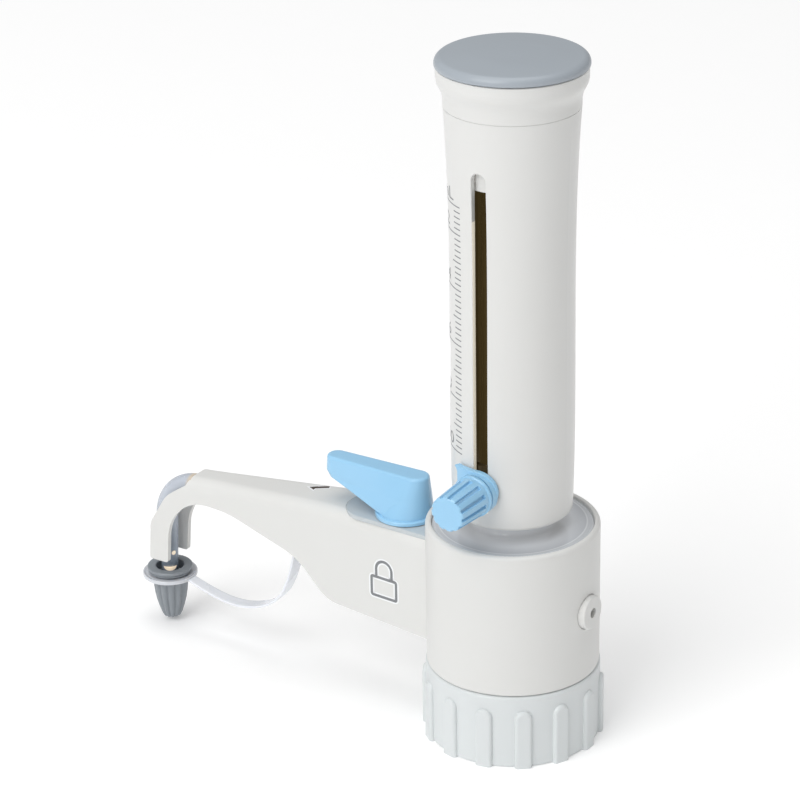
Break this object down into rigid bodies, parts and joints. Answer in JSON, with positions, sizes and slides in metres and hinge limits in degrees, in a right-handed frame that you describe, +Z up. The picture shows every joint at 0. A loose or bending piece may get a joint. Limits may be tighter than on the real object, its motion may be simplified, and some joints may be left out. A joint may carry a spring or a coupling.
{
  "type": "bottle-top dispenser",
  "caption": "Manual piston dispenser that screws on a bottle: lifting sleeve with a sliding volume stop and scale, hooked discharge arm with a valve lever, tethered nozzle cap.",
  "frame": {"origin": "on the dispenser's vertical axis, at the collar's bottom face, which is the mouth of the bottle thread", "axes": "+Z up along the piston's axis, -X along the discharge arm, -Y towards the volume scale and its knob, +X towards the vent"},
  "size_m": [0.1916, 0.0733, 0.2465],
  "materials": {
    "warm_white": "satin moulded plastic, warm white",
    "sleeve_white": "semi-gloss moulded plastic, white",
    "collar_white": "satin moulded plastic, cool white",
    "cap_grey": "semi-gloss moulded plastic, grey",
    "saddle_grey": "gloss moulded plastic, light grey",
    "light_blue": "semi-gloss moulded plastic, light blue",
    "amber_guard": "clear dark amber plastic",
    "barrel_glass": "clear borosilicate glass",
    "clear_tube": "clear fluoropolymer tube",
    "valve_white": "white fluoropolymer",
    "rod_grey": "rigid plastic rod",
    "seal_rubber": "black elastomer",
    "ball_ceramic": "polished ceramic ball",
    "steel": "stainless steel",
    "brass": "turned brass",
    "nozzle_grey": "satin moulded plastic, mid grey",
    "strap_clear": "flexible translucent plastic",
    "filter_felt": "sintered filter disc"
  },
  "bodies": {
    "housing": {"valve_housing": "warm_white", "shoulder_ring": "saddle_grey", "valve_block": "valve_white", "block_screws": "steel", "collar_retainer": "valve_white", "bottle_gasket": "seal_rubber", "filling_valve": "valve_white", "inlet_cage": "valve_white", "outlet_valve": "valve_white", "outlet_spring": "steel", "discharge_tube": "clear_tube", "arm_shell": "warm_white", "valve_saddle": "saddle_grey", "vent_plug": "warm_white", "vent_filter": "filter_felt", "barrel_seal": "seal_rubber", "glass_barrel": "barrel_glass", "barrel_guard": "amber_guard", "barrel_cap": "sleeve_white", "guide_tube": "sleeve_white", "cap_strap": "strap_clear"},
    "piston_sleeve": {"sleeve": "sleeve_white", "handle_ring": "sleeve_white", "top_cap": "cap_grey", "rod_carrier": "sleeve_white", "rod_nut": "steel", "piston_rod": "rod_grey", "piston": "valve_white", "piston_lips": "valve_white"},
    "slider": {"slider_plate": "light_blue", "slider_foot": "sleeve_white", "clamp_stud": "steel"},
    "knob": {"clamp_knob": "light_blue", "knob_insert": "brass"},
    "lever": {"valve_lever": "light_blue", "valve_plug": "valve_white", "plug_seals": "seal_rubber"},
    "collar": {"bottle_collar": "collar_white"},
    "nozzle_cover": {"nozzle_cap": "nozzle_grey", "tether_ring": "strap_clear"},
    "inlet_ball": {"inlet_ball": "ball_ceramic"},
    "outlet_ball": {"outlet_ball": "ball_ceramic"}
  },
  "joints": [
    {"name": "sleeve_lift", "type": "slide", "parent": "housing", "child": "piston_sleeve", "axis": [0, 0, 1], "range_m": [0, 0.097]},
    {"name": "volume_slide", "type": "slide", "parent": "piston_sleeve", "child": "slider", "axis": [0, 0, 1], "range_m": [0, 0.0877]},
    {"name": "clamp_knob_turn", "type": "hinge", "parent": "slider", "child": "knob", "pos_m": [0, -0.035, 0.0992], "axis": [0, -1, 0], "range_deg": [0, 270]},
    {"name": "valve_lever_turn", "type": "hinge", "parent": "housing", "child": "lever", "pos_m": [-0.0433, 0, 0.0712], "axis": [0, 0, 1], "range_deg": [0, 90]},
    {"name": "collar_turn", "type": "hinge", "parent": "housing", "child": "collar", "pos_m": [0, 0, 0], "axis": [0, 0, 1], "continuous": true},
    {"name": "cap_pull", "type": "slide", "parent": "housing", "child": "nozzle_cover", "axis": [0, 0, -1], "range_m": [0, 0.022], "deforming": ["cap_strap"]},
    {"name": "inlet_ball_lift", "type": "slide", "parent": "housing", "child": "inlet_ball", "axis": [0, 0, 1], "range_m": [0, 0.0009]},
    {"name": "outlet_ball_lift", "type": "slide", "parent": "housing", "child": "outlet_ball", "axis": [-1, 0, 0], "range_m": [0, 0.0009], "stiffness_N_per_m": 30, "springref_m": -0.002, "deforming": ["outlet_spring"]}
  ]
}
